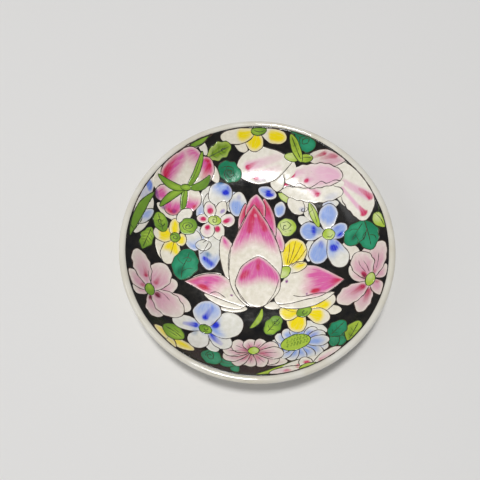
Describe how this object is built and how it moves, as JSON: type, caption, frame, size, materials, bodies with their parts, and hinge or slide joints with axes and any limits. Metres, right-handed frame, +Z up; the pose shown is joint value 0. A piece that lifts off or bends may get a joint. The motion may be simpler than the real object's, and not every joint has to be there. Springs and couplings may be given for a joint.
{
  "type": "ink dish",
  "caption": "Shallow round porcelain ink dish on a foot ring, its inside covered with flowers in raised coloured enamels on a black ground, its rounded lip left white.",
  "frame": {"origin": "centre of the foot ring in the plane that it stands on", "axes": "+Z up along the axis of the dish, out of its hollow; +Y towards the tip of the tall lotus petal; +X to the right of it"},
  "size_m": [0.1, 0.1, 0.02],
  "materials": {
    "porcelain": "glazed porcelain, gloss, bare at the foot ring",
    "black_enamel": "fired black enamel, gloss with a faint brush texture",
    "pink_enamel": "fired opaque rose enamel over white, soft gloss",
    "white_enamel": "fired opaque white enamel, soft gloss",
    "blue_enamel": "fired opaque blue enamel over white, soft gloss",
    "yellow_enamel": "fired opaque yellow enamel, soft gloss",
    "leaf_green_enamel": "fired translucent leaf green enamel, gloss",
    "dark_green_enamel": "fired translucent dark green enamel, gloss",
    "lime_enamel": "fired opaque lime enamel, soft gloss"
  },
  "bodies": {
    "root": {"porcelain_body": "porcelain", "black_ground_enamel": "black_enamel", "lotus_front_petal": "pink_enamel", "lotus_tall_petal": "pink_enamel", "lotus_back_petals": "pink_enamel", "yellow_fan_bloom": "yellow_enamel", "lotus_left_petals": "pink_enamel", "lotus_right_petals": "pink_enamel", "plum_blossom_left": "white_enamel", "dark_leaf_left": "dark_green_enamel", "green_bud_left": "leaf_green_enamel", "green_rosette_left": "leaf_green_enamel", "yellow_bloom_left": "yellow_enamel", "blue_bloom_mid_left": "blue_enamel", "bud_sepals": "leaf_green_enamel", "bud_large_petal": "pink_enamel", "bud_side_petal": "pink_enamel", "bud_lower_left_petal": "pink_enamel", "bud_lower_middle_petal": "pink_enamel", "bud_lower_right_petal": "pink_enamel", "blue_bloom_upper_left": "blue_enamel", "striped_leaf_left": "leaf_green_enamel", "rim_stem_left": "leaf_green_enamel", "rim_petal_left": "white_enamel", "rim_leaf_upper": "white_enamel", "lime_leaf_upper": "lime_enamel", "yellow_bloom_top": "yellow_enamel", "grass_leaves_top": "lime_enamel", "dark_rosette_top": "dark_green_enamel", "dark_rosette_upper": "dark_green_enamel", "magnolia_bloom": "white_enamel", "peony_upper_petal": "white_enamel", "peony_top_petal": "pink_enamel", "peony_lower_petal": "white_enamel", "peony_right_petal": "white_enamel", "blue_petal_upper": "blue_enamel", "pale_blue_petal": "blue_enamel", "white_petal_centre": "white_enamel", "lime_bud_centre": "lime_enamel", "dark_leaf_right": "dark_green_enamel", "lime_stem_right": "lime_enamel", "blue_bloom_right": "blue_enamel", "lime_bud_rim": "lime_enamel", "pink_bloom_right": "pink_enamel", "pink_bloom_left": "pink_enamel", "blue_bloom_lower": "blue_enamel", "yellow_bloom_lower": "yellow_enamel", "leaf_lower_centre": "leaf_green_enamel", "stem_lower_centre": "lime_enamel", "blue_daisy_disc": "lime_enamel", "plum_blossom_rim": "white_enamel", "pink_daisy": "pink_enamel", "blue_daisy": "blue_enamel", "yellow_bloom_rim": "yellow_enamel", "dark_rosette_lower": "dark_green_enamel", "leaves_lower_right": "dark_green_enamel"}
  },
  "joints": []
}
